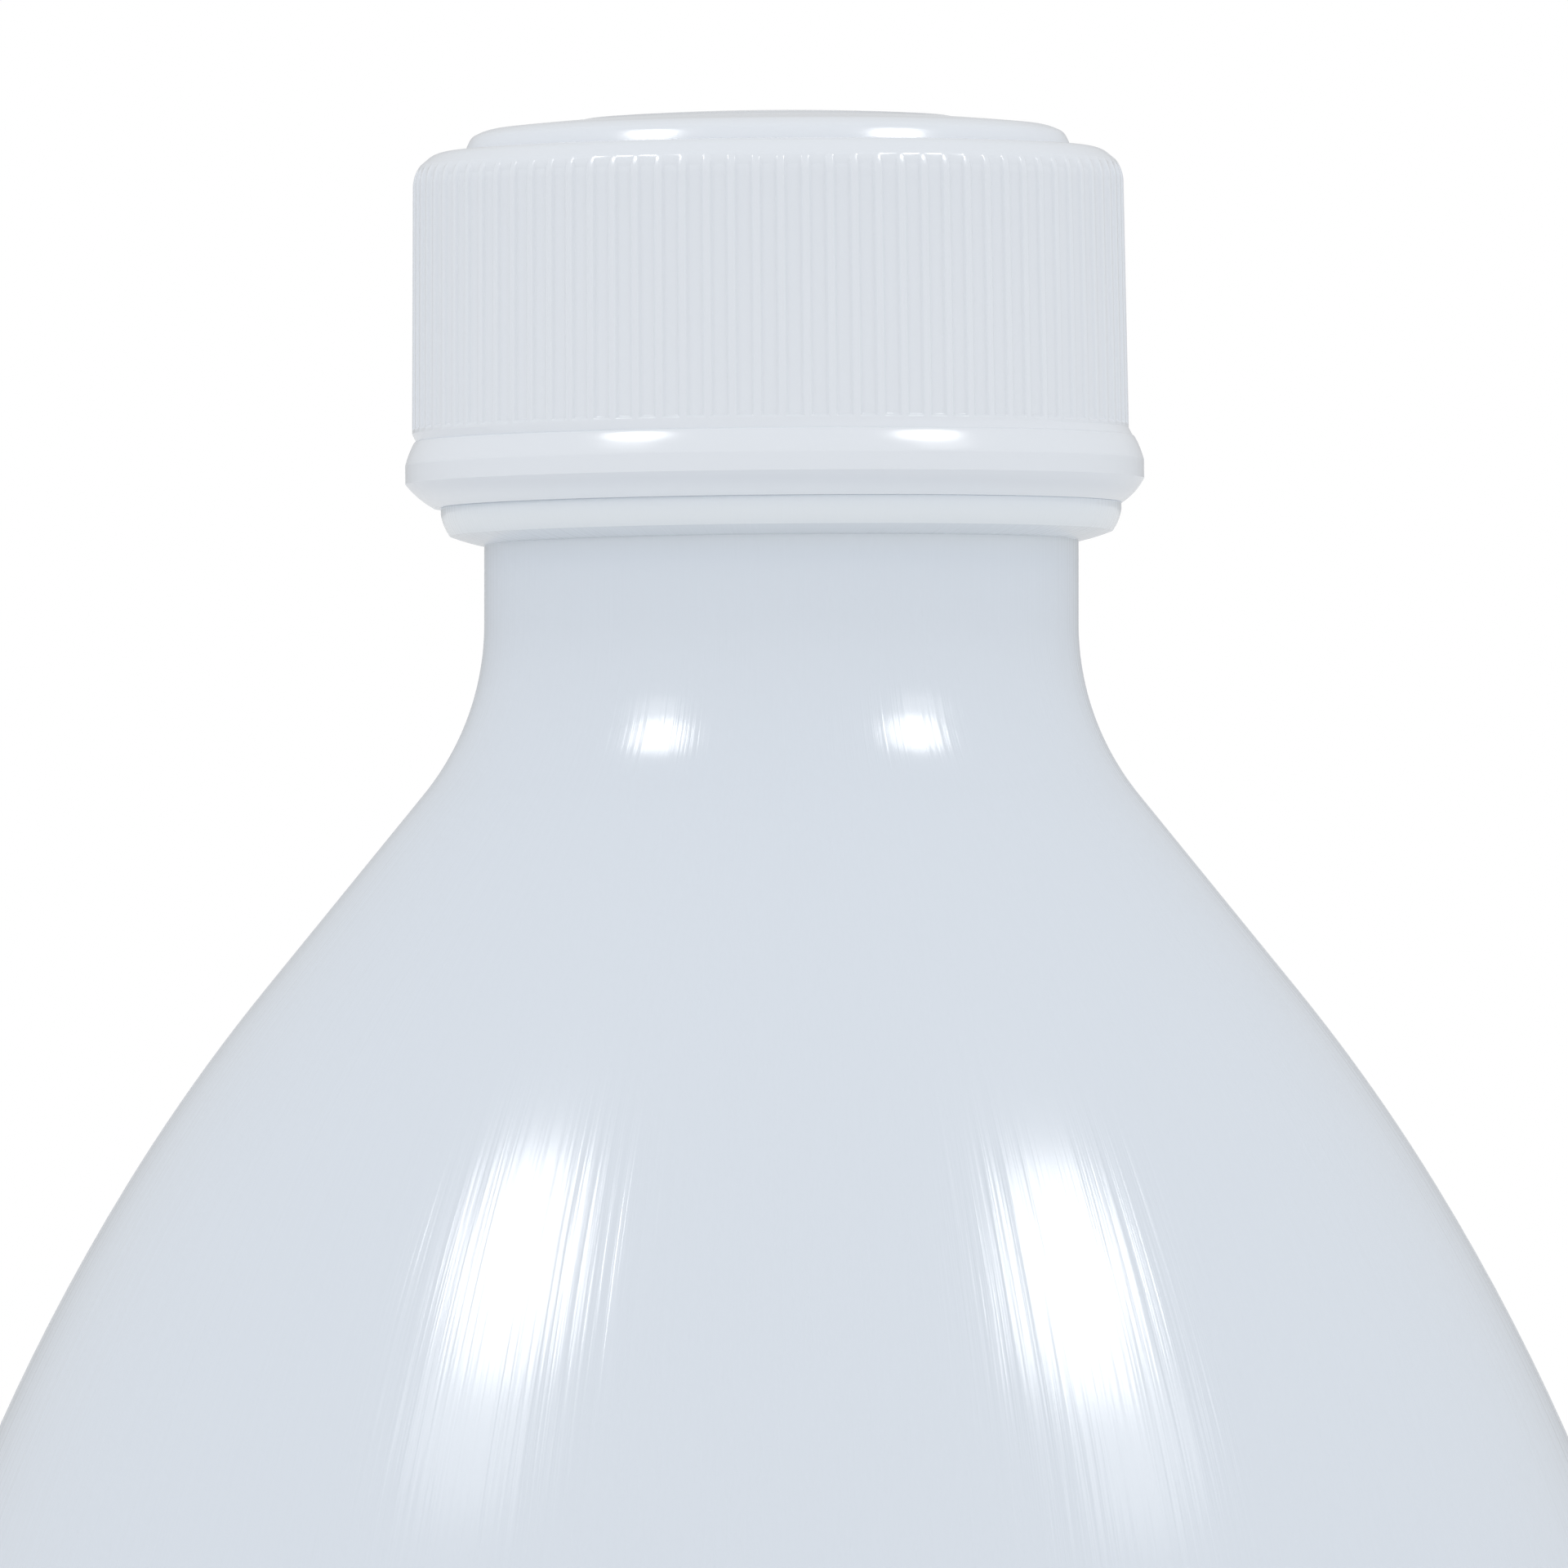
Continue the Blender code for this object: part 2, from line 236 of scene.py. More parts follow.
def make_piece(mesh, name, material, sharp_angle):
    """Put a bmesh into an object at the origin, smooth but where faces meet at more than an angle."""
    data = bpy.data.meshes.new(name)
    mesh.to_mesh(data)
    mesh.free()
    data.shade_smooth()
    data.set_sharp_from_angle(angle=radians(sharp_angle))
    data.materials.append(material)
    piece = bpy.data.objects.new(name, data)
    bpy.context.scene.collection.objects.link(piece)
    print(name, "has", len(data.polygons), "faces")
    return piece


print("a quarter round in 4 steps has", len(arc((0, 0), (1, 1), 0, 90, 4)), "points")

# %% [markdown]
# ## Milky plastic
#
# Polyethylene scatters light inside its wall, so it looks like thin milk with a blue cast. So much
# light comes back out that the wall reads as one soft pale colour. Subsurface scattering describes
# this more closely and was tried. It came out greyer than the photograph, perhaps because in a wall
# of a millimetre light leaks into the dark inside of the bottle, so a pale base colour is used.

# %% Shader nodes


def node(tree, kind, place, **settings):
    """Add a shader node and set its properties."""
    made = tree.nodes.new(kind)
    made.location = place
    for key, value in settings.items():
        setattr(made, key, value)
    return made


# %% [markdown]
# ## Draw lines
#
# The skin is glossy and carries fine lines, drawn down the wall as the bottle was blown. They show
# only where a lamp is mirrored: there they comb the highlight's edges. A noise texture gives them as
# a bump. Its input is the direction round the axis, with little weight on the height, so each
# grain is stretched into a line that follows the wall from the neck to the body. The lines crowd
# together towards the neck, so their height shrinks with the radius and they stay equally steep.

# %% Draw lines
STREAK_COUNT = 48.0
STREAK_STRETCH = 0.6
STREAK_RADIUS = 29 * MM
STREAK_DETAIL = 3
STREAK_ROUGHNESS = 0.6


def add_streaks(tree, axes, streak_height):
    """A bump of upright lines; axes gives the place on the piece. Returns the bump node."""
    round_axis = node(tree, "ShaderNodeCombineXYZ", (-1100, -200))
    facing = node(tree, "ShaderNodeVectorMath", (-900, -200), operation="NORMALIZE")
    around = node(tree, "ShaderNodeSeparateXYZ", (-700, -200))
    along = node(tree, "ShaderNodeMath", (-900, -400), operation="MULTIPLY")
    along.inputs[1].default_value = STREAK_STRETCH
    grain = node(tree, "ShaderNodeCombineXYZ", (-500, -300))
    streaks = node(tree, "ShaderNodeTexNoise", (-300, -300))
    streaks.inputs["Scale"].default_value = STREAK_COUNT
    streaks.inputs["Detail"].default_value = STREAK_DETAIL
    streaks.inputs["Roughness"].default_value = STREAK_ROUGHNESS
    distance = node(tree, "ShaderNodeVectorMath", (-900, -600), operation="LENGTH")
    share = node(tree, "ShaderNodeMath", (-700, -600), operation="DIVIDE")
    share.inputs[1].default_value = STREAK_RADIUS
    relief = node(tree, "ShaderNodeMath", (-300, -600), operation="MULTIPLY")
    bump = node(tree, "ShaderNodeBump", (-100, -300))
    bump.inputs["Strength"].default_value = 1.0
    bump.inputs["Distance"].default_value = streak_height
    tree.links.new(axes.outputs["X"], round_axis.inputs["X"])
    tree.links.new(axes.outputs["Y"], round_axis.inputs["Y"])
    tree.links.new(round_axis.outputs[0], facing.inputs[0])
    tree.links.new(facing.outputs[0], around.inputs[0])
    tree.links.new(around.outputs["X"], grain.inputs["X"])
    tree.links.new(around.outputs["Y"], grain.inputs["Y"])
    tree.links.new(axes.outputs["Z"], along.inputs[0])
    tree.links.new(along.outputs[0], grain.inputs["Z"])
    tree.links.new(grain.outputs[0], streaks.inputs["Vector"])
    tree.links.new(round_axis.outputs[0], distance.inputs[0])
    tree.links.new(distance.outputs["Value"], share.inputs[0])
    tree.links.new(streaks.outputs["Fac"], relief.inputs[0])
    tree.links.new(share.outputs[0], relief.inputs[1])
    tree.links.new(relief.outputs[0], bump.inputs["Height"])
    return bump


print("draw lines full height at radius", in_mm(STREAK_RADIUS), "mm")

# %% [markdown]
# ## Painted light on the undersides
#
# With one even colour the undersides of the bead and of the collar came out darker than in the
# photograph. Light that scatters through thick corners of the real plastic may be what fills them. A
# second, paler tone is painted in there as light: it lifts the shade under the bead and under the
# collar's foot. It is mixed in by height, full at the corner and gone within two millimetres above and
# below it.

# %% Painted light on the undersides


def add_painted_fill(tree, axes, colour, painted_fill):
    """Mix in a paler tone painted as light round a corner's height, over its reach. Returns the mix node.
    """
    fill_colour, fill_height, fill_reach = painted_fill
    above = node(tree, "ShaderNodeMath", (-900, 200), operation="SUBTRACT")
    above.inputs[1].default_value = fill_height
    apart = node(tree, "ShaderNodeMath", (-700, 200), operation="ABSOLUTE")
    fill_share = node(tree, "ShaderNodeMapRange", (-500, 200), interpolation_type="SMOOTHSTEP")
    fill_share.inputs["From Max"].default_value = fill_reach
    fill_share.inputs["To Min"].default_value = 1
    fill_share.inputs["To Max"].default_value = 0
    fill_mix = node(tree, "ShaderNodeMix", (-300, 200), data_type="RGBA")
    fill_mix.inputs["A"].default_value = (*colour, 1)
    fill_mix.inputs["B"].default_value = (*fill_colour, 1)
    tree.links.new(axes.outputs["Z"], above.inputs[0])
    tree.links.new(above.outputs[0], apart.inputs[0])
    tree.links.new(apart.outputs[0], fill_share.inputs["Value"])
    tree.links.new(fill_share.outputs["Result"], fill_mix.inputs["Factor"])
    return fill_mix


# Paler colours painted as light into the shade under the bead and under the collar's foot: colour, height
# and reach.
BEAD_PAINTED_FILL = ((0.815, 0.862, 0.905), BEAD_BOTTOM + 0.6 * MM, 1.6 * MM)
COLLAR_PAINTED_FILL = ((0.90, 0.94, 0.985), BEAD_TOP, 0.7 * MM)
print("paler at", in_mm(BEAD_PAINTED_FILL[1], COLLAR_PAINTED_FILL[1]), "mm")

# %% [markdown]
# ## The two plastics
#
# Bottle and cap are the same kind of plastic with other surfaces. The cap is a little paler, and its
# cut mould leaves hardly any lines, so its streaks are a twelfth as high.

# %% The two plastics
PLASTIC_IOR = 1.5
BOTTLE_COLOUR = (0.716, 0.773, 0.847)
BOTTLE_ROUGHNESS = 0.15
BOTTLE_STREAKS = 0.036 * MM
CAP_COLOUR = (0.79, 0.83, 0.885)
CAP_ROUGHNESS = 0.17
CAP_STREAKS = 0.003 * MM


def milky_plastic(name, colour, painted_fill, roughness, streak_height):
    """Milky plastic, with a paler colour painted as light into a shaded corner: its colour, height and
    reach.
    """
    material = bpy.data.materials.new(name)
    material.use_nodes = True
    tree = material.node_tree
    shader = tree.nodes["Principled BSDF"]
    shader.inputs["Roughness"].default_value = roughness
    shader.inputs["IOR"].default_value = PLASTIC_IOR
    place = node(tree, "ShaderNodeTexCoord", (-1500, -300))
    axes = node(tree, "ShaderNodeSeparateXYZ", (-1300, -300))
    tree.links.new(place.outputs["Object"], axes.inputs[0])
    bump = add_streaks(tree, axes, streak_height)
    tree.links.new(bump.outputs[0], shader.inputs["Normal"])
    # The base colour carries a paler band painted as light over the corner's shade.
    fill_mix = add_painted_fill(tree, axes, colour, painted_fill)
    tree.links.new(fill_mix.outputs["Result"], shader.inputs["Base Color"])
    print(name, "roughness", roughness, "lines", streak_height / MM, "mm")
    return material


bottle_plastic = milky_plastic("milky wall", BOTTLE_COLOUR, BEAD_PAINTED_FILL, BOTTLE_ROUGHNESS, BOTTLE_STREAKS)
cap_plastic = milky_plastic("milky cap", CAP_COLOUR, COLLAR_PAINTED_FILL, CAP_ROUGHNESS, CAP_STREAKS)

# %% [markdown]
# ## The bottle
#
# The bottle is blown inside a mould, so its wall thins from the neck to the body. Its outline joins
# a shallow base, a heel, the straight body, a long shoulder of two arcs, a short cone, a hollow flare,
# the neck, the bead that stops the cap, and the plain mouth. The inner side is the same sweep moved
# inwards by the wall. Each arc starts where the last one ends, so changing one size keeps it smooth.

# %% Bottle outline
SHOULDER_STEPS = 30
FLARE_STEPS = 24
HEEL_STEPS = 12
DOME_STEPS = 12
BEAD_EDGE_STEPS = 5
RIM_STEPS = 4
INNER_SHOULDER_STEPS = 24
INNER_FLARE_STEPS = 12
INNER_HEEL_STEPS = 8
INNER_DOME_STEPS = 6


def shoulder_sweep(arc_steps, flare_steps):
    """Outer side from the top of the flare down to the body: (radius, height, normal angle)."""
    sweep = []
    for step in range(flare_steps + 1):
        angle = CONE_ANGLE * step / flare_steps
        radius = NECK_RADIUS + FLARE_RADIUS * (1 - cos(angle))
        sweep.append((radius, NECK_BOTTOM - FLARE_RADIUS * sin(angle), angle))
    upper_steps = arc_steps // 3
    for step in range(upper_steps):
        angle = CONE_ANGLE + (LOWER_ARC_ANGLE - CONE_ANGLE) * step / upper_steps
        radius = LOWER_ARC_TOP_RADIUS - UPPER_ARC_RADIUS * (cos(LOWER_ARC_ANGLE) - cos(angle))
        height = LOWER_ARC_TOP + UPPER_ARC_RADIUS * (sin(angle) - sin(LOWER_ARC_ANGLE))
        sweep.append((radius, height, angle))
    for step in range(arc_steps + 1):
        angle = LOWER_ARC_ANGLE * (1 - step / arc_steps)
        radius = BODY_RADIUS - LOWER_ARC_RADIUS * (1 - cos(angle))
        sweep.append((radius, BODY_HEIGHT + LOWER_ARC_RADIUS * sin(angle), angle))
    return sweep


def inner_side(sweep):
    """The same sweep moved inwards by a wall that thins from the neck to the body."""
    points = []
    for radius, height, angle in sweep:
        share = (height - BODY_HEIGHT) / (NECK_BOTTOM - BODY_HEIGHT)
        wall = BODY_WALL + (NECK_WALL - BODY_WALL) * share
        points.append((radius - wall * cos(angle), height - wall * sin(angle)))
    return points


def shallow_dome(edge, rise, lift, steps):
    """A shallow dome from its edge, at the height lift, up to the axis."""
    bow = (edge * edge + rise * rise) / (2 * rise)
    half_angle = atan2(edge, bow - rise)
    points = []
    for step in range(steps + 1):
        angle = half_angle * (1 - step / steps)
        points.append((bow * sin(angle), lift + rise - bow * (1 - cos(angle))))
    return points


def bottle_outline():
    """Outer side from the axis at the base up to the mouth, then the inner side back."""
    heel = (BODY_RADIUS - HEEL_RADIUS, HEEL_RADIUS)
    foot_inner = heel[0] - FOOT_WIDTH
    bead = NECK_RADIUS + BEAD_PROJECTION
    outline = list(reversed(shallow_dome(foot_inner, PUSH_UP, 0, DOME_STEPS)))
    outline += arc(heel, (HEEL_RADIUS, HEEL_RADIUS), -90, 0, HEEL_STEPS)
    outer = shoulder_sweep(SHOULDER_STEPS, FLARE_STEPS)
    outline += [(radius, height) for radius, height, _ in reversed(outer)]
    outline.append((NECK_RADIUS, BEAD_BOTTOM))
    bead_bends = BEAD_FACE + BEAD_UNDERSIDE
    bead_face = (bead, BEAD_BOTTOM + bend_size(bead_bends)[1])
    outline += reversed(bend_down(bead_face, bead_bends))
    bead_edge = (bead - BEAD_EDGE, BEAD_TOP - BEAD_EDGE)
    outline += arc(bead_edge, (BEAD_EDGE, BEAD_EDGE), 0, 90, BEAD_EDGE_STEPS)
    outline.append((NECK_RADIUS, BEAD_TOP))
    rim = (NECK_RADIUS - RIM_ROUND, MOUTH - RIM_ROUND)
    outline += arc(rim, (RIM_ROUND, RIM_ROUND), 0, 90, RIM_STEPS)
    outline.append((BORE_RADIUS, MOUTH))
    inner_heel = HEEL_RADIUS - BODY_WALL
    outline += inner_side(shoulder_sweep(INNER_SHOULDER_STEPS, INNER_FLARE_STEPS))
    outline += arc(heel, (inner_heel, HEEL_RADIUS - BASE_WALL), 0, -90, INNER_HEEL_STEPS)
    outline += shallow_dome(foot_inner, PUSH_UP, BASE_WALL, INNER_DOME_STEPS)
    return [point for point, before in zip(outline, [None] + outline) if before is None or
            abs(point[0] - before[0]) + abs(point[1] - before[1]) > WELD]


print("bottle outline has", len(bottle_outline()), "points")

# %% [markdown]
# ## Spinning the bottle
#
# A full spin with its ends merged makes one closed wall. The part above the bead is then tipped by
# half a degree, because the photographed finish leans a little to the left under its cap. Where the
# outline turns by more than the sharp angle in one step, as at the bead's edges, the shading keeps
# the corner. Everywhere else it runs round.

# %% Bottle
BOTTLE_SEGMENTS = 192
BOTTLE_SHARP_ANGLE = 24


def make_bottle():
    """The blown bottle, with its finish tipped over the bead."""
    mesh = turn(bottle_outline(), BOTTLE_SEGMENTS)
    finish = [vert for vert in mesh.verts if vert.co.z > BEAD_BOTTOM - WELD]
    tip = Matrix.Rotation(-FINISH_LEAN, 3, "Y")
    bmesh.ops.rotate(mesh, cent=(0, 0, BEAD_BOTTOM), matrix=tip, verts=finish)
    return make_piece(mesh, "bottle_wall", bottle_plastic, BOTTLE_SHARP_ANGLE)


bottle = make_bottle()
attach(bottle, "root")
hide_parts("bottle")
print("bottle top", in_mm(max(vert.co.z for vert in bottle.data.vertices)), "mm")

# %% [markdown]
# ## The cap
#
# The cap is injected into a cut mould, so its forms are crisper than the bottle's. From the axis
# outwards and down, its outline has a domed disc with a faint inner step, a narrow land, a round
# shoulder, the straight wall of the grip, a ledge, and a collar that swells out and turns under with a
# crisp edge. Inside are the recess, the seat over the mouth and the skirt round the finish. The
# collar reaches down to the bead, as it does when the cap is screwed tight.

# %% Cap outline
DISC_DOME_STEPS = 24


def cap_radius(height):
    """Outer radius of the cap's wall, which widens a little from its top to its foot."""
    share = (WALL_TOP - height) / (WALL_TOP - COLLAR_HEIGHT)
    return SKIRT_RADIUS + CAP_WALL + CAP_DRAFT * share


def shoulder_radius(height):
    """Outer radius of the cap at a height on its wall or on the round of its shoulder."""
    if height < WALL_TOP:
        return cap_radius(height)
    tilt = asin((height - WALL_TOP) / SHOULDER_DROP)
    return cap_radius(WALL_TOP) - SHOULDER_WIDTH * (1 - cos(tilt))


def disc_outline(disc_radius, foot):
    """The raised disc: dome with its inner step, then its bent edge down to its foot."""
    edge_width, edge_height = bend_size(DISC_EDGE)
    edge = disc_radius - edge_width
    edge_top = foot + edge_height
    step_radius = disc_radius - STEP_INSET
    outline = []
    for radius, height in reversed(shallow_dome(edge, DISC_CROWN, edge_top, DISC_DOME_STEPS)):
        lift = STEP_HEIGHT * min(1, max(0, (step_radius - radius) / STEP_HEIGHT))
        outline.append((radius, height + lift))
    return outline + bend_down((edge, edge_top), DISC_EDGE)


def cap_outline():
    """From the axis on top of the cap down its outside, and back up its inside."""
    wall_radius = cap_radius(WALL_TOP)
    land = WALL_TOP + SHOULDER_DROP
    outline = disc_outline(wall_radius - SHOULDER_WIDTH - LAND_WIDTH, land + LAND_RISE)
    outline += bend_down((wall_radius - SHOULDER_WIDTH, land), SHOULDER_ROUND)
    outline.append((shoulder_radius(GRIP_TOP), GRIP_TOP))
    outline.append((cap_radius(GRIP_BOTTOM), GRIP_BOTTOM))
    outline += bend_down((cap_radius(COLLAR_HEIGHT), COLLAR_HEIGHT), COLLAR_FACE)
    collar = outline[-1][0]
    outline += bend_down((collar, bend_size(COLLAR_UNDERSIDE)[1] - COLLAR_TOUCH), COLLAR_UNDERSIDE)
    ceiling = outline[0][1] - DISC_WALL
    outline += [(SKIRT_RADIUS, -COLLAR_TOUCH), (SKIRT_RADIUS, CAP_DEPTH), (RECESS_RADIUS, CAP_DEPTH)]
    outline += [(RECESS_RADIUS, ceiling), (0, ceiling)]
    return outline


print("cap outline has", len(cap_outline()), "points")

# %% [markdown]
# ## The ribbed grip
#
# On the mould the ribs are shallow grooves, so on the cap ninety low ribs stand between ninety flutes.
# They could be an array of thin boxes joined to the wall. Here each panel of the wall is inset twice
# instead: first by half a rib, then by the flank while the panel sinks a tenth of a millimetre. The
# ribs then grow out of the wall with no seam. The flutes run out softly at their tops, and rib and
# flute both bend over the round of the shoulder, which is where the lamps draw a row of bright dots.

# %% Flutes between the ribs
RIB_BEVEL_SEGMENTS = 2


def cut_flutes(mesh):
    """Sink each panel of the grip band, so that the strips between them stand as ribs."""
    middle = (GRIP_BOTTOM + GRIP_TOP) / 2
    panels = []
    for face in mesh.faces:
        centre = face.calc_center_median()
        outside = centre.xy.length > MID_WALL_RADIUS
        if outside and abs(centre.z - middle) < (GRIP_TOP - GRIP_BOTTOM) / 4:
            panels.append(face)
    bmesh.ops.inset_individual(mesh, faces=panels, thickness=RIB_HALF_CREST, use_even_offset=True)
    flanks = bmesh.ops.inset_individual(mesh, faces=panels, thickness=RIB_FLANK,
                                        depth=-FLUTE_DEPTH, use_even_offset=True)["faces"]
    tops = {vert for face in panels for vert in face.verts if vert.co.z > middle}
    bmesh.ops.translate(mesh, verts=list(tops), vec=(0, 0, -FLUTE_RUN_OUT))
    edges = {edge for face in flanks for edge in face.edges}
    bmesh.ops.bevel(mesh, geom=list(edges), offset=RIB_ROUND, offset_type="OFFSET",
                    segments=RIB_BEVEL_SEGMENTS, profile=0.5, affect="EDGES", clamp_overlap=True,
                    material=-1)
    print("flutes", len(panels))


def bend_rib_tops(mesh):
    """Lay the tops of the ribs and flutes over the round of the shoulder."""
    band = GRIP_TOP - WALL_TOP + RIB_ROUND
    for step in range(RIB_TOP_CUTS):
        height = GRIP_TOP - band * (step + 0.5) / RIB_TOP_CUTS
        geometry = list(mesh.verts) + list(mesh.edges) + list(mesh.faces)
        bmesh.ops.bisect_plane(mesh, geom=geometry, dist=WELD, plane_co=(0, 0, height),
                               plane_no=(0, 0, 1))
    foot = shoulder_radius(GRIP_BOTTOM)
    for vert in mesh.verts:
        radius = vert.co.xy.length
        if GRIP_BOTTOM < vert.co.z < GRIP_TOP and radius > MID_WALL_RADIUS:
            share = (vert.co.z - GRIP_BOTTOM) / (GRIP_TOP - GRIP_BOTTOM)
            chord = foot + (shoulder_radius(GRIP_TOP) - foot) * share
            vert.co.xy *= 1 + (shoulder_radius(vert.co.z) - chord) / radius


print("rib pitch", in_mm(2 * pi * cap_radius(GRIP_BOTTOM) / RIB_COUNT), "mm")

# %% [markdown]
# ## Seating the cap
#
# The cap is made standing on its own foot and is then moved onto the bead, with the same lean as the
# finish and a few tenths of a millimetre to the left, as it sits in the photograph. The collar alone
# goes back a little to the right, where its outline shows it, and its foot a little more, to the bead.

# %% Cap
CAP_SHARP_ANGLE = 21


def shift_collar(mesh):
    """Move the collar sideways, and more so from its crisp edge down to its foot."""
    crisp_edge = bend_size(COLLAR_UNDERSIDE)[1] - COLLAR_TOUCH
    for vert in mesh.verts:
        if vert.co.z < COLLAR_HEIGHT + WELD and vert.co.xy.length > SKIRT_RADIUS + WELD:
            share = max(0, (crisp_edge - vert.co.z) / (crisp_edge + COLLAR_TOUCH))
            vert.co.x += COLLAR_SHIFT + (FOOT_SHIFT - COLLAR_SHIFT) * share


def make_cap():
    """The ribbed cap, seated over the mouth."""
    mesh = turn(cap_outline(), RIB_COUNT)
    cut_flutes(mesh)
    bend_rib_tops(mesh)
    shift_collar(mesh)
    place = (Matrix.Translation((0, 0, BEAD_BOTTOM)) @ Matrix.Rotation(-FINISH_LEAN, 4, "Y")
             @ Matrix.Translation((-CAP_SHIFT, 0, BEAD_HEIGHT + COLLAR_GAP)))
    bmesh.ops.transform(mesh, matrix=place, verts=mesh.verts)
    return make_piece(mesh, "cap_moulding", cap_plastic, CAP_SHARP_ANGLE)


cap = make_cap()
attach(cap, "root")
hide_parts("cap")
print("cap top", in_mm(max(vert.co.z for vert in cap.data.vertices)), "mm")

# %% [markdown]
# ## Floor
#
# The photograph cuts the bottle off below its shoulder, so the table is out of sight. It still
# matters: its light comes back up and keeps the undersides of the collar and the bead from going
# dark. A broad matt disc does that, and it holds the bottle's shadow in the other views.

# %% Floor
FLOOR_RADIUS = 12.0
FLOOR_SEGMENTS = 96
FLOOR_GREY = 0.765
FLOOR_ROUGHNESS = 0.9

floor_mesh = bmesh.new()
bmesh.ops.create_circle(floor_mesh, cap_ends=True, segments=FLOOR_SEGMENTS, radius=FLOOR_RADIUS)
floor_data = bpy.data.meshes.new("floor")
floor_mesh.to_mesh(floor_data)
floor_mesh.free()
floor = bpy.data.objects.new("floor", floor_data)
bpy.context.scene.collection.objects.link(floor)

floor_paint = bpy.data.materials.new("white table")
floor_paint.use_nodes = True
floor_shader = floor_paint.node_tree.nodes["Principled BSDF"]
floor_shader.inputs["Base Color"].default_value = (FLOOR_GREY, FLOOR_GREY, FLOOR_GREY, 1)
floor_shader.inputs["Roughness"].default_value = FLOOR_ROUGHNESS
floor_data.materials.append(floor_paint)
print("floor radius", FLOOR_RADIUS, "m")

# %% [markdown]
# ## Softboxes
#
# Two oval highlights stand on the body, the neck, the collar and the cap's disc, so two softboxes
# hang above and to either side of the camera. Their distance is a guess: a near lamp stands lower in
# the sky for the neck than for the body, which lifts the neck's highlight towards its place in the
# photograph. Below each highlight the body has a weaker patch, and a second, dimmer lamp gives it.
# The room's even light already gives the plastic its colour, so these lamps are seen only as
# reflections and add nothing else.

# %% Softboxes
HIGHLIGHT_SIDE = 10 * MM
HIGHLIGHT_FRONT = 26 * MM
HIGHLIGHT_HEIGHT = 120 * MM
SOFTBOX_DISTANCE = 0.35
SOFTBOX_RADIANCE = 11.0
SPILL_RADIANCE = 2.2


def softbox(name, azimuth, elevation, size, radiance):
    """An oval light that faces the highlight it makes on its side of the shoulder."""
    target = Vector((copysign(HIGHLIGHT_SIDE, azimuth), -HIGHLIGHT_FRONT, HIGHLIGHT_HEIGHT))
    away = Vector((sin(radians(azimuth)) * cos(radians(elevation)),
                   -cos(radians(azimuth)) * cos(radians(elevation)), sin(radians(elevation))))
    data = bpy.data.lights.new(name, "AREA")
    data.shape = "ELLIPSE"
    data.size, data.size_y = size
    data.energy = radiance * pi * (pi / 4 * size[0] * size[1])
    thing = bpy.data.objects.new(name, data)
    thing.location = target + away * SOFTBOX_DISTANCE
    thing.rotation_euler = (-away).to_track_quat("-Z", "Y").to_euler()
    thing.visible_camera = False
    thing.visible_diffuse = False
    thing.visible_transmission = False
    bpy.context.scene.collection.objects.link(thing)
    print(name, "at", [round(value, 2) for value in thing.location], "power", round(data.energy, 2), "W")


softbox("left softbox", -59.4, 53.7, (0.108, 0.085), SOFTBOX_RADIANCE)
softbox("right softbox", 63.4, 51.6, (0.116, 0.085), SOFTBOX_RADIANCE)
softbox("left spill", -56.0, 44.3, (0.105, 0.066), SPILL_RADIANCE)
softbox("right spill", 63.2, 41.7, (0.111, 0.066), SPILL_RADIANCE)

# %% [markdown]
# ## World
#
# The product stands in a white tent. Its walls light the milky plastic from all sides, more from
# the level of the table than from above. What the glossy skin mirrors is a dimmer room, dimmest at
# the level: it draws the soft grey rim that keeps the pale bottle apart from its background. How the
# real room looked isn't known. These two strengths were chosen so that the rim fits the photograph.

# %% Light of the tent
HORIZON_LIGHT = 1.3
ZENITH_LIGHT = 0.8
LEVEL_GLOSS = 0.42
UPPER_GLOSS = 0.6
UPPER_HEIGHT = 0.25

world = bpy.data.worlds.new("studio")
bpy.context.scene.world = world
world.use_nodes = True
sky = world.node_tree
sky.nodes.clear()
white = node(sky, "ShaderNodeBackground", (500, -100))
light = node(sky, "ShaderNodeBackground", (500, 100))
dim = node(sky, "ShaderNodeBackground", (500, 0))
for shade in (white, light, dim):
    shade.inputs["Color"].default_value = (1, 1, 1, 1)
direction = node(sky, "ShaderNodeTexCoord", (-500, -100))
toward = node(sky, "ShaderNodeSeparateXYZ", (-300, -100))
tent_light = node(sky, "ShaderNodeMapRange", (-100, -400))
tent_light.inputs["To Min"].default_value = HORIZON_LIGHT
tent_light.inputs["To Max"].default_value = ZENITH_LIGHT
tent_gloss = node(sky, "ShaderNodeMapRange", (-100, -700))
tent_gloss.inputs["From Max"].default_value = UPPER_HEIGHT
tent_gloss.inputs["To Min"].default_value = LEVEL_GLOSS
tent_gloss.inputs["To Max"].default_value = UPPER_GLOSS
sky.links.new(direction.outputs["Generated"], toward.inputs[0])
sky.links.new(toward.outputs["Z"], tent_light.inputs["Value"])
sky.links.new(tent_light.outputs["Result"], light.inputs["Strength"])
sky.links.new(toward.outputs["Z"], tent_gloss.inputs["Value"])
sky.links.new(tent_gloss.outputs["Result"], dim.inputs["Strength"])
print("light from the level", HORIZON_LIGHT, "from above", ZENITH_LIGHT)
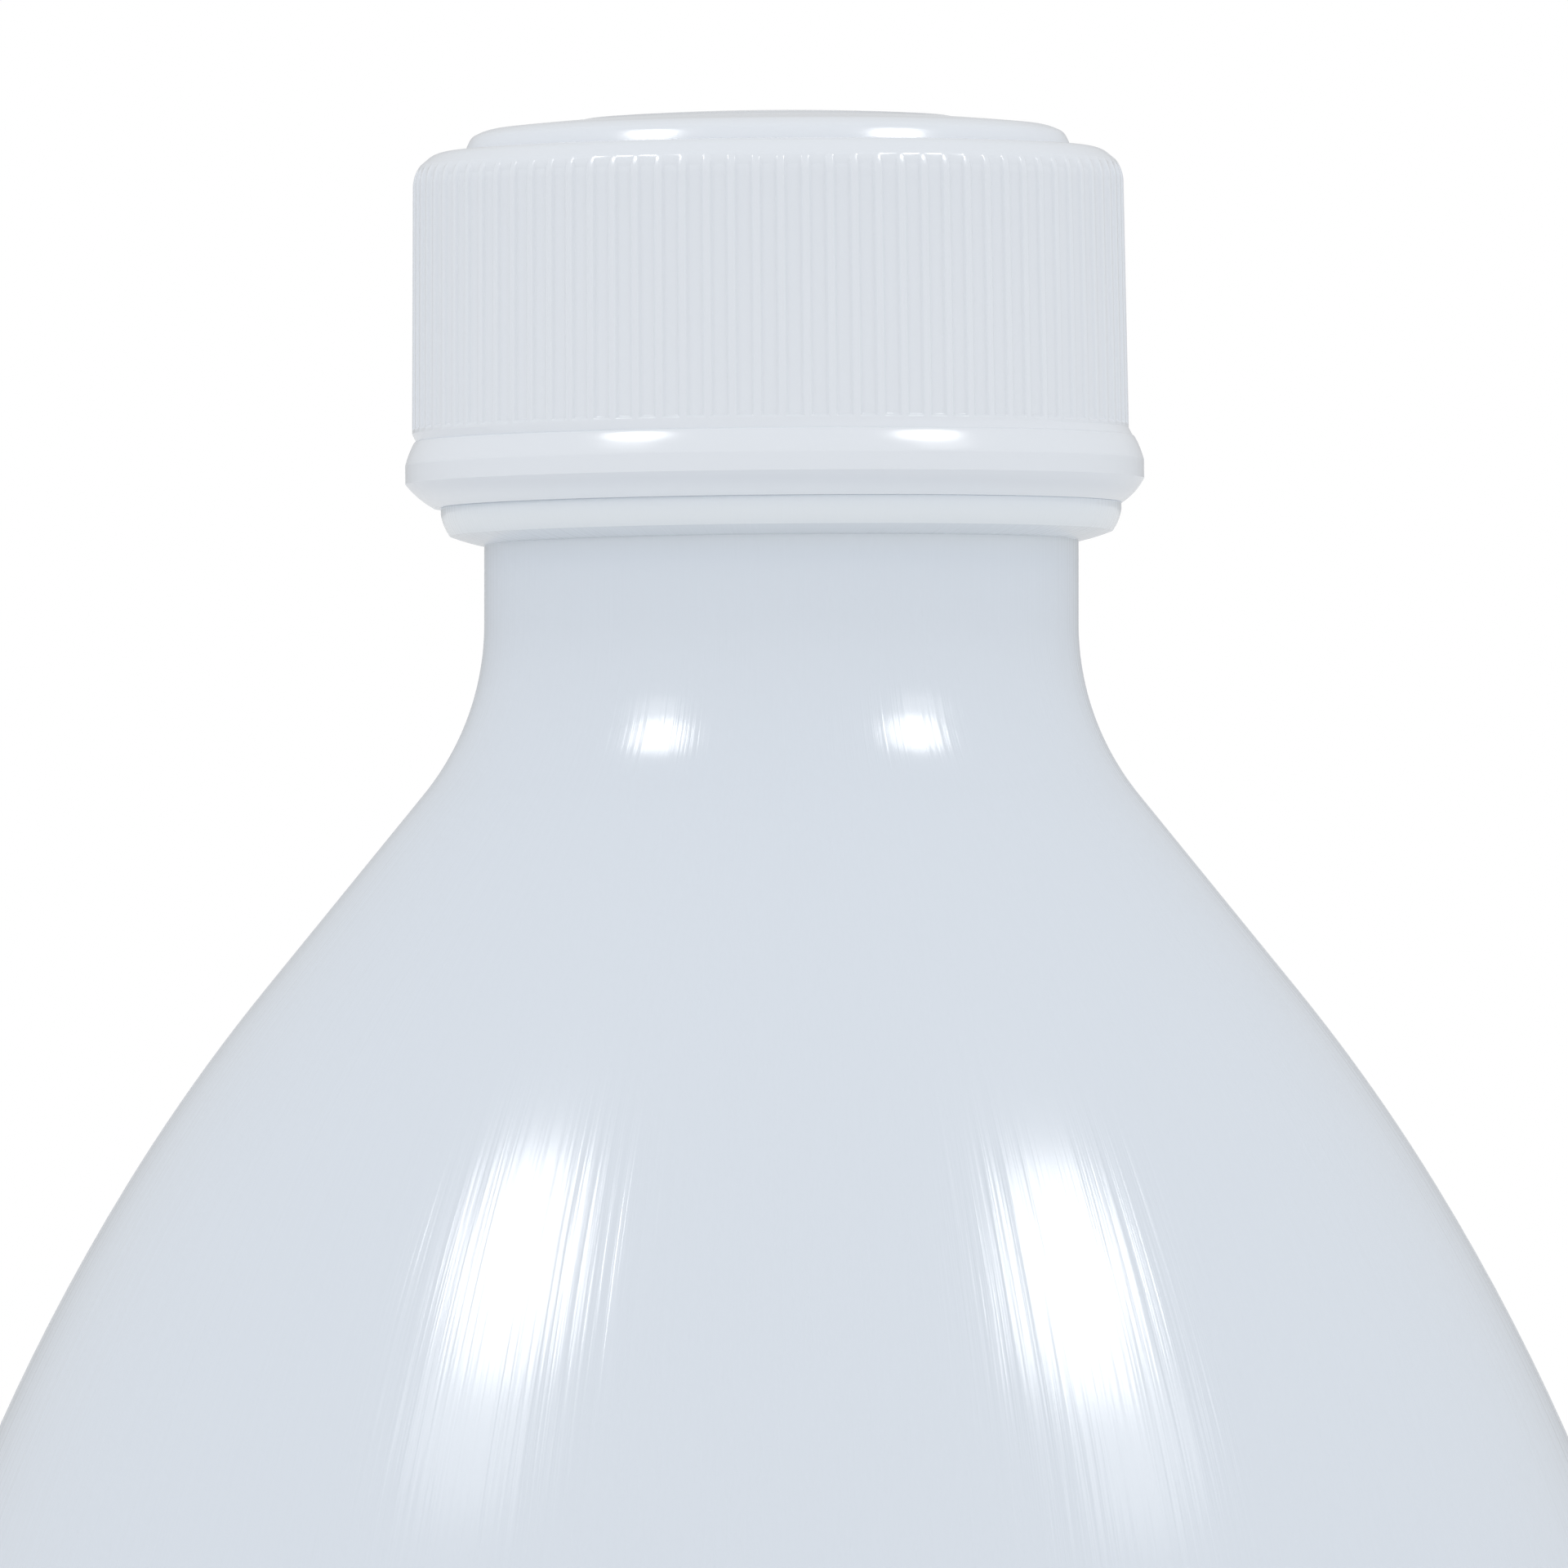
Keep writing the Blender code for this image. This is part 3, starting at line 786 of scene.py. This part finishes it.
print("mirrored at the level", LEVEL_GLOSS, "higher up", UPPER_GLOSS)

# %% [markdown]
# ## What each ray sees
#
# The picture's background is plain white. A world can tell the rays apart with the Light Path node:
# the camera sees white, and so does a mirrored ray that goes straight back to the white panel
# behind the bottle. Other mirrored rays see the dimmer room, and all the rest see the tent's light.

# %% What each ray sees
BACKDROP_ANGLE = 3
BACKDROP_FADE = 4

rays = node(sky, "ShaderNodeLightPath", (-300, 300))
panel = node(sky, "ShaderNodeMapRange", (-100, -100))
panel.inputs["From Min"].default_value = cos(radians(BACKDROP_ANGLE + BACKDROP_FADE))
panel.inputs["From Max"].default_value = cos(radians(BACKDROP_ANGLE))
behind = node(sky, "ShaderNodeMath", (100, 0), operation="MULTIPLY")
seen = node(sky, "ShaderNodeMath", (300, 200), operation="MAXIMUM")
room_mix = node(sky, "ShaderNodeMixShader", (700, 100))
seen_mix = node(sky, "ShaderNodeMixShader", (900, 0))
output = node(sky, "ShaderNodeOutputWorld", (1100, 0))
sky.links.new(toward.outputs["Y"], panel.inputs["Value"])
sky.links.new(rays.outputs["Is Glossy Ray"], behind.inputs[0])
sky.links.new(panel.outputs["Result"], behind.inputs[1])
sky.links.new(rays.outputs["Is Camera Ray"], seen.inputs[0])
sky.links.new(behind.outputs[0], seen.inputs[1])
sky.links.new(rays.outputs["Is Glossy Ray"], room_mix.inputs["Fac"])
sky.links.new(light.outputs[0], room_mix.inputs[1])
sky.links.new(dim.outputs[0], room_mix.inputs[2])
sky.links.new(seen.outputs[0], seen_mix.inputs["Fac"])
sky.links.new(room_mix.outputs[0], seen_mix.inputs[1])
sky.links.new(white.outputs[0], seen_mix.inputs[2])
sky.links.new(seen_mix.outputs[0], output.inputs["Surface"])
print("white panel within", BACKDROP_ANGLE, "degrees, faded over", BACKDROP_FADE)

# %% [markdown]
# ## Picture settings
#
# The Standard view shows a colour as it is written, with no film curve between the scene and the
# picture.

# %% Picture settings
bpy.context.scene.view_settings.view_transform = "Standard"
print("view transform", bpy.context.scene.view_settings.view_transform)
